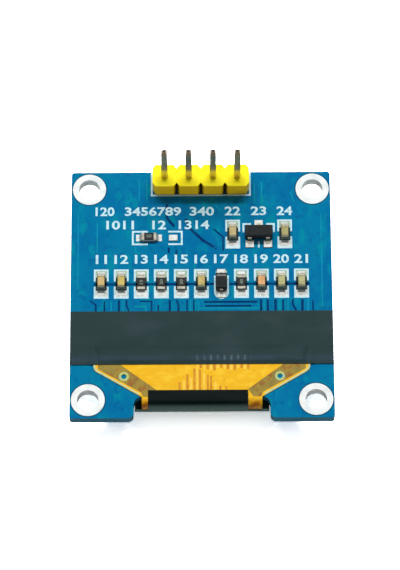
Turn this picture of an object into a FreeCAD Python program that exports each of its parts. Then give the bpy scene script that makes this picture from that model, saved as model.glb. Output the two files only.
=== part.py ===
import FreeCAD, Part

import math
import os

from FreeCAD import Rotation, Vector

# Small display module, lying face down as it rests on a table.
# Millimetres. +Z is up, away from the display's face, which lies on z = 0.
# The origin is under the middle of the circuit board. +Y points to the header
# and -Y to the edge where the flex cable folds, which is called the front here.

# Display stack, from the table upwards
polariser_t = 0.2
front_glass_t = 0.7
seal_t = 0.05
cap_glass_t = 0.5
adhesive_t = 0.3
board_t = 1.2

# Circuit board: as large as the display panel and the strips left round it
side_strip = 0.3
front_strip = 4.15
back_strip = 4.39
board_corner_r = 0.3
notch_depth = 2.4
notch_r = 1.0
notch_mouth_r = 0.6
notch_side_gap = 0.85       # between the notch and the flex cable's neck

# Mounting holes, each lined and ringed with tinned copper
hole_r = 1.1
hole_inset_x = 1.9
hole_inset_y = 2.0
plating_t = 0.1
ring_r = 1.75
land_t = 0.04               # thickness of tinned copper on either face

# Pin header
pin_count = 4
pin_pitch = 2.54
pin_w = 0.64
pin_tip_w = 0.3
pin_taper = 0.5
pin_above = 6.0             # above the housing
pin_tail = 1.3              # below the board
header_inset = 1.3          # from the board's back edge to the pins
housing_d = 2.5
housing_h = 2.0
nick_half_w = 0.3           # corner cut off each of the housing's units, along X
nick_depth = 0.42           # the same along Y
foot_gap_w = 1.9            # channel between the housing's two feet
foot_h = 0.25
pin_hole_r = 0.5
pin_land_r = 0.85
pin_joint_h = 0.9
pin_joint_tip_r = 0.5

# Chip capacitors and resistors
chip_l = 1.6
chip_w = 0.8
capacitor_h = 0.9
capacitor_edge_r = 0.06
substrate_t = 0.37
glaze_t = 0.05
glaze_inset = 0.06
end_l = 0.3                # length of a metal end
end_t = 0.04                # wall of a metal end
end_edge_r = 0.09
clip_edge_r = 0.06

# Moulded packages with gull-wing leads
draft_deg = 8.0
standoff = 0.06
lead_t = 0.12
lead_bend_r = 0.08
lead_root = 0.15            # length of lead inside the moulding
diode_l = 1.7
diode_w = 1.2
diode_h = 0.95
diode_span = 2.5
diode_lead_w = 0.35
regulator_l = 1.3
regulator_w = 2.9
regulator_h = 1.05
regulator_span = 2.4
regulator_lead_w = 0.42
regulator_lead_pitch = 0.95

# Lands and solder
chip_land_w = 0.76
chip_land_reach = 1.35      # from a chip's middle to the outer end of its land
chip_land_grip = 0.35       # length of land under a chip's end
land_lip = 0.12             # flat rim of a land outside its solder
fillet_share = 0.45         # height of the solder on a chip's end, as a share of it
fillet_hollow = 0.4         # how far the solder's face is hollowed
mound_t = 0.12
mound_edge_r = 0.05
lead_land_w = 0.92
lead_land_reach = 0.38      # land beyond a lead's toe
bare_land_w = 0.7
bare_land_l = 0.95
bare_land_t = 0.1

# Places of the parts on the board
row_count = 11
row_side_gap = 3.2          # from the board's side to the middle of the first part
row_tape_gap = 3.14         # from the cover tape to the middle of the lower row
row_step = 5.63             # from the lower row to the upper row
regulator_side_gap = 7.6    # from the board's right side to the regulator's middle
filter_step = 2.73          # from the regulator to the capacitor on either side
selector_side_gap = 8.18    # from the board's left side to the selector's resistor
selector_drop = 0.4         # how far the selector lies in front of the upper row
selector_gap = 0.72         # from the selector's resistor land to its bare land

# Display panel
panel_w = 26.7
panel_l = 19.26
ledge_l = 3.26              # front glass that the cap glass leaves bare
polariser_side_gap = 0.5
polariser_end_gap = 0.5
active_side_gap = 2.48      # from the panel's side to the pixels
active_back_gap = 2.1
active_front_gap = 3.04     # from the cap glass's front edge to the pixels
pixel_layer_t = 0.04
seal_inset = 0.2
seal_w = 0.8
recess_inset = 1.3
recess_depth = 0.25
recess_r = 1.0
desiccant_gap = 1.0
desiccant_t = 0.15
driver_w = 6.8
driver_l = 0.9
driver_t = 0.3
resin_side_gap = 1.0
resin_end_gap = 0.1
resin_t = 0.22
resin_edge_r = 0.12
strip_l = 3.0
strip_inset = 1.0

# Flex cable
flex_t = 0.1
neck_w = 12.4
bend_gap = 0.1              # from the notch's edge to the start of the bend
bond_l = 1.1                # bonded length on the glass ledge
flex_under_tape = 1.0
shoulder_gap = 0.62         # straight side that shows in front of the cover tape
shoulder_r = 0.8
flex_hole_r = 0.27
flex_hole_side = 3.15       # from the film's side to a locating hole
flex_hole_step = 2.25       # from the bend to the two locating holes
joint_count = 30
joint_pitch = 0.7
joint_w = 0.4
joint_side_gap = 0.85       # from the film's side to the first joint
joint_on_flex = 0.5
joint_on_board = 0.45
joint_t = 0.09

# Tapes
cover_inset = 5.9           # from the board's front edge
cover_l = 5.93
cover_t = 0.12
cover_ramp = 0.9            # run of the tape where it drops off an edge
joint_room = 0.12
bend_tape_w = 10.3
bend_tape_shift = -0.4
bend_tape_t = 0.1
bend_tape_high = 0.7        # length on the flat above the fold
bend_tape_low = 1.2         # length on the flat below the fold
wide_tape_gap = 0.1         # from the notch's sides to the tape's wide lower part
wide_tape_deg = 100.0       # how far that part comes up round the fold

# Levels
ledge_z = polariser_t + front_glass_t
cap_z = ledge_z + seal_t
cap_top_z = cap_z + cap_glass_t
board_z = cap_top_z + adhesive_t
top_z = board_z + board_t
land_z = top_z + land_t
housing_top_z = top_z + housing_h

# Places along the board, front to back
board_w = panel_w + 2 * side_strip
board_l = panel_l + front_strip + back_strip
front_y = -board_l / 2
back_y = board_l / 2
notch_y = front_y + notch_depth
bend_y = notch_y - bend_gap
cover_front_y = front_y + cover_inset
cover_back_y = cover_front_y + cover_l
flex_end_y = cover_front_y + flex_under_tape
shoulder_y = cover_front_y - shoulder_gap
header_y = back_y - header_inset
lower_row_y = cover_back_y + row_tape_gap
upper_row_y = lower_row_y + row_step
selector_y = upper_row_y - selector_drop
selector_x = selector_side_gap - board_w / 2
regulator_x = board_w / 2 - regulator_side_gap
panel_front_y = front_y + front_strip
panel_back_y = panel_front_y + panel_l
cap_front_y = panel_front_y + ledge_l
bond_back_y = panel_front_y + bond_l

# Fold of the flex cable: half a turn from the glass ledge up to the board
bend_inner_r = (top_z - ledge_z - flex_t) / 2
bend_z = top_z - bend_inner_r
bend_outer_r = bend_inner_r + flex_t

notch_w = neck_w + 2 * notch_side_gap
joint_row_w = (joint_count - 1) * joint_pitch + joint_w
flex_end_w = joint_row_w + 2 * joint_side_gap
row_pitch = (board_w - 2 * row_side_gap) / (row_count - 1)
clip_h = substrate_t + 2 * end_t

SMALL = 1e-6

# Turns of a lead made toward the back, in degrees
TO_BACK = 0
TO_FRONT = 180


# Shape helpers

def placed(shape, x, y, z, turn_deg=0.0):
    """Copy of a shape, turned about an upright axis and moved to its place."""
    copy = shape.copy()
    move = FreeCAD.Placement(Vector(x, y, z), Rotation(Vector(0, 0, 1), turn_deg))
    copy.Placement = move.multiply(copy.Placement)
    return copy


def upright_edges(solid, wanted):
    """Edges that stand along Z, where wanted(x, y) is true."""
    found = []
    for edge in solid.Edges:
        low = edge.Vertexes[0].Point
        high = edge.Vertexes[-1].Point
        run = high.sub(low)
        upright = abs(run.x) < SMALL and abs(run.y) < SMALL and abs(run.z) > SMALL
        if upright and wanted(low.x, low.y):
            found.append(edge)
    return found


def block(x0, x1, y0, y1, z0, z1, corner_r=0.0):
    """Straight block between two corners, with round upright corners if wanted."""
    solid = Part.makeBox(x1 - x0, y1 - y0, z1 - z0, Vector(x0, y0, z0))
    if corner_r > 0:
        solid = solid.makeFillet(corner_r, upright_edges(solid, lambda x, y: True))
    return solid


def rounded_top(solid, radius):
    """The solid with the edges of its top face rounded."""
    top = solid.BoundBox.ZMax
    rim = [edge for edge in solid.Edges if edge.BoundBox.ZMin > top - SMALL]
    return solid.makeFillet(radius, rim)


def closed_face(stops):
    """Flat face through its corners. A pair (way, end) is an arc through way to end."""
    edges = []
    here = stops[0]
    for stop in stops[1:] + stops[:1]:
        if isinstance(stop, tuple):
            edges.append(Part.Arc(here, stop[0], stop[1]).toShape())
            here = stop[1]
        else:
            edges.append(Part.makeLine(here, stop))
            here = stop
    return Part.Face(Part.Wire(edges))


def side_profile(stops, x0, x1):
    """Solid with a side profile of (y, z) corners and arcs, from x0 to x1."""
    corners = []
    for stop in stops:
        if isinstance(stop[0], tuple):
            corners.append(tuple(Vector(x0, y, z) for y, z in stop))
        else:
            corners.append(Vector(x0, stop[0], stop[1]))
    return closed_face(corners).extrude(Vector(x1 - x0, 0, 0))


def prism(points, z0, z1):
    """Plan outline of (x, y) points raised from z0 to z1."""
    face = closed_face([Vector(x, y, z0) for x, y in points])
    return face.extrude(Vector(0, 0, z1 - z0))


def frustum(low, high, z0, z1):
    """Solid between two level rectangles, each given as (x0, x1, y0, y1)."""
    wires = []
    for (x0, x1, y0, y1), z in ((low, z0), (high, z1)):
        corners = [Vector(x0, y0, z), Vector(x1, y0, z), Vector(x1, y1, z), Vector(x0, y1, z)]
        wires.append(Part.makePolygon(corners + corners[:1]))
    return Part.makeLoft(wires, True, True)


def turned_ring(stops, x, y):
    """Solid turned about the upright axis at (x, y) from (radius, z) corners and arcs."""
    corners = []
    for stop in stops:
        if isinstance(stop[0], tuple):
            corners.append(tuple(Vector(r, 0, z) for r, z in stop))
        else:
            corners.append(Vector(stop[0], 0, stop[1]))
    face = closed_face(corners)
    if any(isinstance(corner, tuple) for corner in corners):
        # A turned arc has a box far larger than itself, and a turned free curve hasn't
        face = face.toNurbs().Faces[0]
    ring = face.revolve(Vector(0, 0, 0), Vector(0, 0, 1), 360)
    return placed(ring, x, y, 0)


def hollow_way(a, b, corner, share):
    """Point that an arc from a to b passes when it is drawn in towards a corner."""
    middle = ((a[0] + b[0]) / 2, (a[1] + b[1]) / 2)
    return tuple(m + (c - m) * share for m, c in zip(middle, corner))


def solids_of(shapes):
    """One compound of all the solids in some shapes."""
    return Part.makeCompound([solid for shape in shapes for solid in shape.Solids])


# Circuit board and its plated holes

def hole_places():
    x = board_w / 2 - hole_inset_x
    y = board_l / 2 - hole_inset_y
    return [(-x, -y), (x, -y), (-x, y), (x, y)]


def pin_places():
    first = -(pin_count - 1) * pin_pitch / 2
    return [first + index * pin_pitch for index in range(pin_count)]


def circuit_board():
    half_w = board_w / 2
    half_notch = notch_w / 2
    board = block(-half_w, half_w, front_y, back_y, board_z, top_z)
    notch = block(-half_notch, half_notch, front_y - notch_depth, notch_y, board_z, top_z, notch_r)
    board = board.cut(notch)

    def is_corner(x, y):
        return abs(abs(x) - half_w) < SMALL

    def is_mouth(x, y):
        return abs(abs(x) - half_notch) < SMALL and abs(y - front_y) < SMALL

    board = board.makeFillet(board_corner_r, upright_edges(board, is_corner))
    board = board.makeFillet(notch_mouth_r, upright_edges(board, is_mouth))
    lined_r = hole_r + plating_t
    holes = [Part.makeCylinder(lined_r, board_t, Vector(x, y, board_z)) for x, y in hole_places()]
    holes += [
        Part.makeCylinder(pin_hole_r, board_t, Vector(x, header_y, board_z)) for x in pin_places()
    ]
    return board.cut(holes)


def mounting_ring(x, y):
    """Plated lining of a hole, with an annular land on each face of the board."""
    lined_r = hole_r + plating_t
    low_z = board_z - land_t
    return turned_ring(
        [
            (hole_r, low_z),
            (ring_r, low_z),
            (ring_r, board_z),
            (lined_r, board_z),
            (lined_r, top_z),
            (ring_r, top_z),
            (ring_r, land_z),
            (hole_r, land_z),
        ],
        x,
        y,
    )


# Pin header

def header_pin(x):
    """Square pin with a four-sided taper at both ends."""
    low_z = board_z - pin_tail
    high_z = housing_top_z + pin_above
    half = pin_w / 2
    tip = pin_tip_w / 2
    outline = [
        (-half, low_z + pin_taper),
        (-tip, low_z),
        (tip, low_z),
        (half, low_z + pin_taper),
        (half, high_z - pin_taper),
        (tip, high_z),
        (-tip, high_z),
        (-half, high_z - pin_taper),
    ]
    seen_from_side = side_profile(outline, -half, half)
    seen_from_front = placed(seen_from_side, 0, 0, 0, 90)
    return placed(seen_from_side.common(seen_from_front), x, header_y, 0)


def header_housing():
    """One moulding with nicks between its units and two feet along its length."""
    front = header_y - housing_d / 2
    left = pin_places()[0] - pin_pitch / 2
    right = left + pin_count * pin_pitch
    front_line = [(left, front + nick_depth), (left + nick_half_w, front)]
    for unit in range(1, pin_count):
        x = left + unit * pin_pitch
        front_line.append((x - nick_half_w, front))
        front_line.append((x, front + nick_depth))
        front_line.append((x + nick_half_w, front))
    front_line += [(right - nick_half_w, front), (right, front + nick_depth)]
    back_line = [(x, 2 * header_y - y) for x, y in reversed(front_line)]
    housing = prism(front_line + back_line, top_z, housing_top_z)
    half_gap = foot_gap_w / 2
    channel = block(left, right, header_y - half_gap, header_y + half_gap, top_z, top_z + foot_h)
    return housing.cut([channel] + [header_pin(x) for x in pin_places()])


def header_joint(x):
    """Solder of one pin: it fills the plated hole and rises up the tail to a point."""
    rim = (pin_land_r, board_z - land_t)
    tip = (pin_joint_tip_r, board_z - pin_joint_h)
    way = hollow_way(rim, tip, (pin_joint_tip_r, board_z), fillet_hollow)
    solder = turned_ring(
        [
            (0, board_z - pin_joint_h),
            tip,
            (way, rim),
            (pin_land_r, board_z),
            (pin_hole_r, board_z),
            (pin_hole_r, top_z),
            (pin_land_r, top_z),
            (pin_land_r, land_z),
            (0, land_z),
        ],
        x,
        header_y,
    )
    return solder.cut(header_pin(x))


# Chips: their length runs along Y, and they stand on z = 0

def brick(length, width, height, edge_r):
    """Block with all its edges rounded."""
    half_w = width / 2
    half_l = length / 2
    solid = block(-half_w, half_w, -half_l, half_l, 0, height)
    return solid.makeFillet(edge_r, solid.Edges)


def both_ends(solid):
    """The two end stretches of a chip-sized solid."""
    half_l = chip_l / 2
    ends = []
    for y0, y1 in ((-half_l, -half_l + end_l), (half_l - end_l, half_l)):
        ends.append(solid.common(block(-chip_w, chip_w, y0, y1, 0, capacitor_h)))
    return Part.makeCompound(ends)


def capacitor():
    """Ceramic body with tumbled edges, and the metal cups over its two ends."""
    ceramic = brick(
        chip_l - 2 * end_t, chip_w - 2 * end_t, capacitor_h - 2 * end_t, capacitor_edge_r
    )
    body = placed(ceramic, 0, 0, end_t)
    cups = both_ends(brick(chip_l, chip_w, capacitor_h, end_edge_r)).cut(body)
    return body, cups


def resistor():
    """Ceramic plate with a raised glaze, and metal clips round its two ends."""
    half_w = chip_w / 2
    half_l = chip_l / 2
    plate_l = half_l - end_t
    plate = block(-half_w, half_w, -plate_l, plate_l, end_t, end_t + substrate_t)
    glaze_w = half_w - glaze_inset
    glaze_l = half_l - end_l - glaze_inset
    glaze = block(
        -glaze_w, glaze_w, -glaze_l, glaze_l, end_t + substrate_t, clip_h + glaze_t
    )
    outside = block(-half_w, half_w, -half_l, half_l, 0, clip_h)
    across = [edge for edge in outside.Edges if edge.BoundBox.XLength > half_w]
    clips = both_ends(outside.makeFillet(clip_edge_r, across)).cut(plate)
    return plate.fuse(glaze), clips


def gull_lead(body_l, span, height):
    """Side profile of one lead on the +Y side: out of the moulding, down, and out."""
    mid_z = height / 2
    leg_y = body_l / 2 + lead_bend_r
    outer_r = lead_bend_r + lead_t
    high_y = leg_y - lead_bend_r
    high_z = mid_z - lead_t / 2 - lead_bend_r
    low_y = leg_y + outer_r
    low_z = outer_r
    toe_y = span / 2
    root_y = body_l / 2 - lead_root
    turn = math.sqrt(0.5)

    def round_to(centre, radius, toward, end):
        way = (centre[0] + radius * turn * toward[0], centre[1] + radius * turn * toward[1])
        return (way, end)

    return [
        (root_y, mid_z - lead_t / 2),
        (high_y, mid_z - lead_t / 2),
        round_to((high_y, high_z), lead_bend_r, (1, 1), (leg_y, high_z)),
        (leg_y, low_z),
        round_to((low_y, low_z), outer_r, (-1, -1), (low_y, 0)),
        (toe_y, 0),
        (toe_y, lead_t),
        (low_y, lead_t),
        round_to((low_y, low_z), lead_bend_r, (-1, -1), (leg_y + lead_t, low_z)),
        (leg_y + lead_t, high_z),
        round_to((high_y, high_z), outer_r, (1, 1), (high_y, mid_z + lead_t / 2)),
        (root_y, mid_z + lead_t / 2),
    ]


def package(body_l, body_w, height, span, lead_w, lead_places):
    """Moulded body, its leads and their solder. Each lead place is (x, turn in degrees)."""
    lean = math.tan(math.radians(draft_deg))
    mid_z = height / 2

    def level(z):
        inset = abs(z - mid_z) * lean
        half_w = body_w / 2 - inset
        half_l = body_l / 2 - inset
        return (-half_w, half_w, -half_l, half_l)

    lower = frustum(level(standoff), level(mid_z), standoff, mid_z)
    upper = frustum(level(mid_z), level(height), mid_z, height)
    lead = side_profile(gull_lead(body_l, span, height), -lead_w / 2, lead_w / 2)
    leads = [placed(placed(lead, x, 0, 0), 0, 0, 0, turn) for x, turn in lead_places]
    body = lower.fuse(upper).cut(leads)
    return body, solids_of(leads), lead_joints(body_l, span, lead_places, leads)


def lead_joints(body_l, span, lead_places, leads):
    """Low mounds of solder round the toes of a package's leads."""
    near = body_l / 2 + lead_bend_r
    far = span / 2 + lead_land_reach
    half_w = lead_land_w / 2
    mound = rounded_top(block(-half_w, half_w, near, far, 0, mound_t), mound_edge_r)
    toes = [placed(lead, 0, 0, land_t) for lead in leads]
    mounds = [placed(placed(mound, x, 0, 0), 0, 0, 0, turn) for x, turn in lead_places]
    return [piece.cut(toes) for piece in mounds]


def diode():
    lead_places = [(0, TO_BACK), (0, TO_FRONT)]
    return package(diode_l, diode_w, diode_h, diode_span, diode_lead_w, lead_places)


def regulator():
    step = regulator_lead_pitch
    lead_places = [(0, TO_BACK), (-step, TO_FRONT), (step, TO_FRONT)]
    return package(
        regulator_l, regulator_w, regulator_h, regulator_span, regulator_lead_w, lead_places
    )


# Solder of the chips and the selector's bare land

def chip_joint(metal_h):
    """Land and solder at a chip's back end, hollow-faced from the end to the rim."""
    half_w = chip_land_w / 2
    wall_y = chip_l / 2
    rim = (chip_land_reach - land_lip, land_t)
    crown = (wall_y, land_t + metal_h * fillet_share)
    way = hollow_way(rim, crown, (wall_y, land_t), fillet_hollow)
    profile = [
        (wall_y - chip_land_grip, 0),
        (chip_land_reach, 0),
        (chip_land_reach, land_t),
        rim,
        (way, crown),
        (wall_y, land_t),
        (wall_y - chip_land_grip, land_t),
    ]
    return side_profile(profile, -half_w, half_w)


def chip_joints(metal_h):
    joint = chip_joint(metal_h)
    return [joint, placed(joint, 0, 0, 0, 180)]


def bare_land():
    half_w = bare_land_w / 2
    half_l = bare_land_l / 2
    return rounded_top(block(-half_w, half_w, -half_l, half_l, 0, bare_land_t), mound_edge_r)


# Flex cable, its solder, and the tapes

def flex_cable():
    """Film that leaves the glass ledge, folds up through the notch and spreads out."""
    half_neck = neck_w / 2
    half_end = flex_end_w / 2
    film_top = top_z + flex_t
    flat = prism(
        [
            (-half_neck, bend_y),
            (half_neck, bend_y),
            (half_end, shoulder_y),
            (half_end, flex_end_y),
            (-half_end, flex_end_y),
            (-half_end, shoulder_y),
        ],
        top_z,
        film_top,
    )
    shoulders = upright_edges(flat, lambda x, y: abs(y - shoulder_y) < SMALL)
    flat = flat.makeFillet(shoulder_r, shoulders)
    fold = side_profile(
        [
            (bond_back_y, ledge_z),
            (bend_y, ledge_z),
            ((bend_y - bend_outer_r, bend_z), (bend_y, film_top)),
            (bend_y, top_z),
            ((bend_y - bend_inner_r, bend_z), (bend_y, ledge_z + flex_t)),
            (bond_back_y, ledge_z + flex_t),
        ],
        -half_neck,
        half_neck,
    )
    hole_x = half_end - flex_hole_side
    hole_y = bend_y + flex_hole_step
    holes = [
        Part.makeCylinder(flex_hole_r, flex_t, Vector(x, hole_y, top_z)) for x in (-hole_x, hole_x)
    ]
    return flat.fuse(fold).cut(holes).removeSplitter()


def flex_solder():
    """Row of joints from the contacts on the film's end down to the board's lands."""
    film_top = top_z + flex_t
    crown = film_top + joint_t
    profile = [
        (flex_end_y - joint_on_flex, film_top),
        (flex_end_y, film_top),
        (flex_end_y, top_z),
        (flex_end_y + joint_on_board, top_z),
        (flex_end_y + joint_on_board / 2, crown - joint_t / 2),
        (flex_end_y, crown),
        (flex_end_y - joint_on_flex + joint_t, crown),
    ]
    joint = side_profile(profile, -joint_w / 2, joint_w / 2)
    first = -(joint_row_w - joint_w) / 2
    return solids_of([placed(joint, first + n * joint_pitch, 0, 0) for n in range(joint_count)])


def bend_tape():
    """Tape round the outside of the fold: a narrow strip right over, a wide one below."""
    film_top = top_z + flex_t
    high_y = bend_y + bend_tape_high
    low_y = bend_y + bend_tape_low
    low_z = ledge_z - bend_tape_t
    outer_r = bend_outer_r + bend_tape_t
    middle = bend_tape_shift
    narrow = side_profile(
        [
            (high_y, film_top),
            (high_y, film_top + bend_tape_t),
            (bend_y, film_top + bend_tape_t),
            ((bend_y - outer_r, bend_z), (bend_y, low_z)),
            (low_y, low_z),
            (low_y, ledge_z),
            (bend_y, ledge_z),
            ((bend_y - bend_outer_r, bend_z), (bend_y, film_top)),
        ],
        middle - bend_tape_w / 2,
        middle + bend_tape_w / 2,
    )

    def on_fold(radius, share):
        angle = math.radians(wide_tape_deg * share)
        return (bend_y - radius * math.sin(angle), bend_z - radius * math.cos(angle))

    half_wide = notch_w / 2 - wide_tape_gap
    wide = side_profile(
        [
            (low_y, ledge_z),
            (bend_y, ledge_z),
            (on_fold(bend_outer_r, 0.5), on_fold(bend_outer_r, 1)),
            on_fold(outer_r, 1),
            (on_fold(outer_r, 0.5), (bend_y, low_z)),
            (low_y, low_z),
        ],
        -half_wide,
        half_wide,
    )
    return narrow.fuse(wide).removeSplitter()


def under_cover(grow):
    """What the cover tape lies over, the film and its row of joints, grown by a skin."""
    half_film = flex_end_w / 2
    half_row = joint_row_w / 2
    row_front = flex_end_y - joint_on_flex
    row_back = flex_end_y + joint_on_board
    beyond = shoulder_y - cover_ramp
    steps = []
    for half, y0, y1, height in (
        (half_film, beyond, flex_end_y, flex_t),
        (half_row, row_front, row_back, flex_t + joint_room),
    ):
        high = (-half - grow, half + grow, y0 - grow, y1 + grow)
        run = cover_ramp
        low = (high[0] - run, high[1] + run, high[2] - run, high[3] + run)
        steps.append(frustum(low, high, top_z, top_z + height + grow))
    return steps[0].fuse(steps[1])


def cover_tape():
    """Tape right across the board, draped over the film and its solder joints."""
    half_w = board_w / 2
    sheet = block(-half_w, half_w, cover_front_y, cover_back_y, top_z, top_z + cover_t)
    ceiling = top_z + flex_t + joint_room + cover_t
    reach = block(-half_w, half_w, cover_front_y, cover_back_y, top_z, ceiling)
    draped = sheet.fuse(under_cover(cover_t)).cut(under_cover(0.0))
    return draped.common(reach).removeSplitter()


# Display panel

def front_glass():
    half_w = panel_w / 2
    return block(-half_w, half_w, panel_front_y, panel_back_y, polariser_t, ledge_z)


def polariser():
    half_w = panel_w / 2 - polariser_side_gap
    y0 = cap_front_y + polariser_end_gap
    y1 = panel_back_y - polariser_end_gap
    return block(-half_w, half_w, y0, y1, 0, polariser_t)


def pixel_layer():
    half_w = panel_w / 2 - active_side_gap
    y0 = cap_front_y + active_front_gap
    y1 = panel_back_y - active_back_gap
    return block(-half_w, half_w, y0, y1, ledge_z, ledge_z + pixel_layer_t)


def inset_on_cap(inset, z0, z1, corner_r):
    """Round-cornered block under or in the cap glass, a given way in from its edges."""
    half_w = panel_w / 2 - inset
    return block(-half_w, half_w, cap_front_y + inset, panel_back_y - inset, z0, z1, corner_r)


def seal_bead():
    inner = seal_inset + seal_w
    outside = inset_on_cap(seal_inset, ledge_z, cap_z, recess_r)
    return outside.cut(inset_on_cap(inner, ledge_z, cap_z, recess_r))


def cap_glass():
    half_w = panel_w / 2
    glass = block(-half_w, half_w, cap_front_y, panel_back_y, cap_z, cap_top_z)
    return glass.cut(inset_on_cap(recess_inset, cap_z, cap_z + recess_depth, recess_r))


def desiccant_sheet():
    ceiling = cap_z + recess_depth
    return inset_on_cap(recess_inset + desiccant_gap, ceiling - desiccant_t, ceiling, recess_r)


def driver_chip():
    middle_y = (bond_back_y + cap_front_y) / 2
    half_w = driver_w / 2
    half_l = driver_l / 2
    return block(
        -half_w, half_w, middle_y - half_l, middle_y + half_l, ledge_z, ledge_z + driver_t
    )


def chip_resin():
    half_w = panel_w / 2 - resin_side_gap
    y0 = bond_back_y + resin_end_gap
    y1 = cap_front_y - resin_end_gap
    coat = block(-half_w, half_w, y0, y1, ledge_z, ledge_z + resin_t)
    return rounded_top(coat, resin_edge_r).cut(driver_chip())


def adhesive_strips():
    half_w = panel_w / 2 - strip_inset
    strips = []
    for y0 in (cap_front_y + strip_inset, panel_back_y - strip_inset - strip_l):
        strips.append(block(-half_w, half_w, y0, y0 + strip_l, cap_top_z, board_z))
    return Part.makeCompound(strips)


# Layout: where each part of the board stands

def row_x(index):
    return -board_w / 2 + row_side_gap + index * row_pitch


def chip_layout():
    """Places (x, y, turn) of the capacitors and resistors, and of the diode."""
    capacitor_spots = (0, 1, 5, 8, 9, 10)
    resistor_spots = (2, 3, 4, 7)
    diode_spot = 6
    capacitors = [(row_x(spot), lower_row_y, 0) for spot in capacitor_spots]
    for side in (-1, 1):
        capacitors.append((regulator_x + side * filter_step, upper_row_y, 0))
    resistors = [(row_x(spot), lower_row_y, 0) for spot in resistor_spots]
    resistors.append((selector_x, selector_y, 90))
    return capacitors, resistors, (row_x(diode_spot), lower_row_y, 0)


def board_parts():
    """Chips, packages and the solder of all their lands."""
    nodes = {}
    joints = []
    capacitors, resistors, diode_place = chip_layout()
    kinds = (
        ("capacitor", capacitor(), capacitors, capacitor_h),
        ("resistor", resistor(), resistors, clip_h),
    )
    for kind, (body, ends), places, metal_h in kinds:
        solder = chip_joints(metal_h)
        for number, (x, y, turn) in enumerate(places, 1):
            nodes[f"{kind}_{number}_body"] = placed(body, x, y, land_z, turn)
            nodes[f"{kind}_{number}_ends"] = placed(ends, x, y, land_z, turn)
            joints += [placed(joint, x, y, top_z, turn) for joint in solder]

    packages = (
        ("diode", diode(), diode_place),
        ("regulator", regulator(), (regulator_x, upper_row_y, 0)),
    )
    for name, (body, leads, mounds), (x, y, turn) in packages:
        nodes[f"{name}_body"] = placed(body, x, y, land_z, turn)
        nodes[f"{name}_leads"] = placed(leads, x, y, land_z, turn)
        joints += [placed(mound, x, y, top_z, turn) for mound in mounds]

    bare_x = selector_x + chip_land_reach + selector_gap + bare_land_l / 2
    joints.append(placed(bare_land(), bare_x, selector_y, top_z, 90))
    nodes["component_solder"] = solids_of(joints)
    return nodes


def module():
    """Every piece of the module, by name."""
    nodes = {"circuit_board": circuit_board()}
    for number, (x, y) in enumerate(hole_places(), 1):
        nodes[f"mounting_ring_{number}"] = mounting_ring(x, y)
    nodes["header_housing"] = header_housing()
    for number, x in enumerate(pin_places(), 1):
        nodes[f"header_pin_{number}"] = header_pin(x)
    nodes["header_solder"] = solids_of([header_joint(x) for x in pin_places()])
    nodes.update(board_parts())
    nodes["flex_cable"] = flex_cable()
    nodes["flex_solder"] = flex_solder()
    nodes["bend_tape"] = bend_tape()
    nodes["cover_tape"] = cover_tape()
    nodes["front_glass"] = front_glass()
    nodes["polariser"] = polariser()
    nodes["pixel_layer"] = pixel_layer()
    nodes["seal_bead"] = seal_bead()
    nodes["cap_glass"] = cap_glass()
    nodes["desiccant_sheet"] = desiccant_sheet()
    nodes["driver_chip"] = driver_chip()
    nodes["chip_resin"] = chip_resin()
    nodes["adhesive_strips"] = adhesive_strips()
    return nodes


os.makedirs("parts", exist_ok=True)
for node_name, node_shape in module().items():
    node_shape.exportStep(os.path.join("parts", node_name + ".step"))
    print(node_name, len(node_shape.Solids), "solids", round(node_shape.Volume, 4), "mm3")
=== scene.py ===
import math

import bmesh
import bpy
from mathutils import Matrix, Vector


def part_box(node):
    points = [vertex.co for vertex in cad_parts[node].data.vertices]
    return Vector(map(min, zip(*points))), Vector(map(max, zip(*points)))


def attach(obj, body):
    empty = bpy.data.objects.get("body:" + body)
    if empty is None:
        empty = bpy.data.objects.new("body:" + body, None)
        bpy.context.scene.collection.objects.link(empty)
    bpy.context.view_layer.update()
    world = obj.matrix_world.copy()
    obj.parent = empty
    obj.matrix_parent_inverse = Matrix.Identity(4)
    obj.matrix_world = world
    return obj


# Looks of a small display module that lies face down, component side up.
# Plan places are written in millimetres from the middle of the board, with +Y
# toward the header. Heights and main sizes are read from the CAD frame.

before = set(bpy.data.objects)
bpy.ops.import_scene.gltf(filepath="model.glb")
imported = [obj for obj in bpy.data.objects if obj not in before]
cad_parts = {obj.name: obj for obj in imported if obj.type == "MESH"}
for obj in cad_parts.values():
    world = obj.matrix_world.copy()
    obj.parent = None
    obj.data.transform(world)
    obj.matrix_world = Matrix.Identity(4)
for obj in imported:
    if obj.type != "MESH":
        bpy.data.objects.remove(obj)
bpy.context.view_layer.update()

MM = 0.001


def box_mm(node):
    """Lowest and highest corner of a CAD node, in millimetres."""
    low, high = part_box(node)
    return low / MM, high / MM


board_low, board_high = box_mm("circuit_board")
housing_low, housing_high = box_mm("header_housing")
TOP = board_high.z
COVER_FRONT_Y = box_mm("cover_tape")[0].y
BEND_TAPE_BACK_Y = box_mm("bend_tape")[1].y
GLASS_BACK_Y = box_mm("front_glass")[1].y

RING_COUNT = 4
PIN_COUNT = 4
PIN_PITCH = 2.54
RESISTOR_COUNT = 5
PRINT_T = 0.02              # thickness of white print
TRACK_T = 0.012             # how far a track stands up under the mask
MARK_T = 0.004              # thickness of the marks on the parts
FILM_T = 0.1
COPPER_T = 0.006            # thickness of what is laid on the film's face
LINE_W = 0.19               # width of a printed line
WIDEST_NUMERAL = 1.3        # how far a number may be stretched sideways
BEND_Y = -11.6              # where the flex cable starts to fold
RIDGE_X = -0.45             # first of the short tracks that show through the cover tape
RIDGE_PITCH = 0.7
RIDGE_COUNT = 8
NICK_HALF_W = 0.3           # half of a nick's mouth between two units of the header


# Colours

def rgb(red, green, blue):
    """Linear colour from sRGB values of 0 to 255."""
    shares = [value / 255 for value in (red, green, blue)]
    return (*[s / 12.92 if s <= 0.04045 else ((s + 0.055) / 1.055) ** 2.4 for s in shares], 1.0)


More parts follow.
